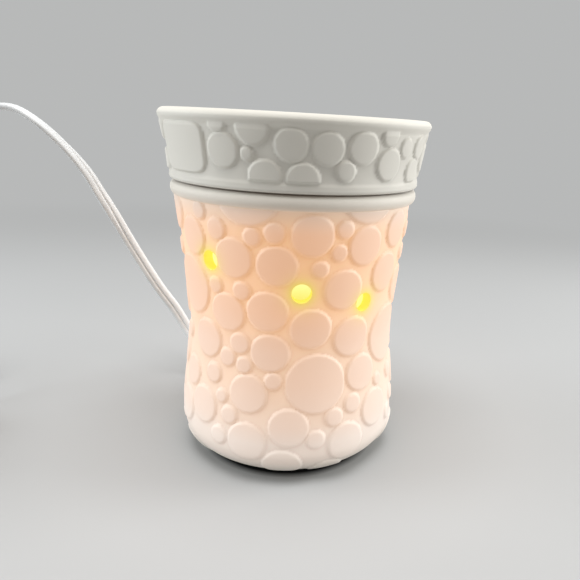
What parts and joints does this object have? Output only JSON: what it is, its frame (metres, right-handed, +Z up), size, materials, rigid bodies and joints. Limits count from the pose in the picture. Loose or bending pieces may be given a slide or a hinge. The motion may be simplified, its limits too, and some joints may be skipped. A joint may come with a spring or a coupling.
{
  "type": "wax warmer",
  "caption": "Porcelain wax warmer: waisted lamp body covered in raised bubbles and pierced for light, lift-off wax dish on top, bulb inside, mains lead with inline switch and plug.",
  "frame": {"origin": "on the table under the axis of the body, level with the undersides of the feet", "axes": "+Z up the axis of the body; -Y towards the viewer of the picture; +X to the right of that view"},
  "size_m": [0.3357, 0.1584, 0.1522],
  "materials": {
    "porcelain": "matt bisque",
    "steel": "zinc plated",
    "brass": "plain",
    "tin": "tinned",
    "rubber": "matt",
    "phenolic": "satin",
    "glass": "frosted",
    "cord": "satin",
    "plastic": "satin",
    "tie": "matt",
    "wire": "drawn"
  },
  "bodies": {
    "warmer": {"body": "porcelain", "bottom_cover": "steel", "base_plate": "steel", "clamp_screw_1": "steel", "clamp_screw_2": "steel", "clamp_nut_1": "steel", "clamp_nut_2": "steel", "lock_nut": "steel", "nipple": "steel", "switch_screw_1": "steel", "switch_screw_2": "steel", "lampholder_shell": "brass", "lampholder_contact": "brass", "terminal_screw_1": "brass", "terminal_screw_2": "brass", "plug_blade_1": "brass", "plug_blade_2": "brass", "foot_1": "rubber", "foot_2": "rubber", "foot_3": "rubber", "foot_4": "rubber", "cord_boot": "rubber", "boot_ring": "rubber", "lampholder": "phenolic", "cord_rise": "cord", "cord_link": "cord", "cord_coil": "cord", "cord_tail": "cord", "inner_lead_1": "cord", "inner_lead_2": "cord", "switch_lower": "plastic", "switch_upper": "plastic", "plug_body": "plastic", "coil_tie": "tie"},
    "dish": {"dish": "porcelain"},
    "bulb": {"bulb_glass": "glass", "bulb_cap": "tin", "bulb_insulator": "phenolic", "bulb_tip": "tin", "bulb_stem": "glass", "bulb_filament": "wire"},
    "switch_wheel": {"switch_wheel": "plastic"}
  },
  "joints": [
    {"name": "dish_lift", "type": "slide", "parent": "warmer", "child": "dish", "axis": [0, 0, 1], "range_m": [0, 0.05]},
    {"name": "bulb_turn", "type": "hinge", "parent": "warmer", "child": "bulb", "pos_m": [0, 0, 0.051], "axis": [0, 0, 1], "range_deg": [0, 900]},
    {"name": "switch_turn", "type": "hinge", "parent": "warmer", "child": "switch_wheel", "pos_m": [-0.17, -0.02, 0.01], "axis": [1, 0, 0], "range_deg": [0, 90]}
  ]
}
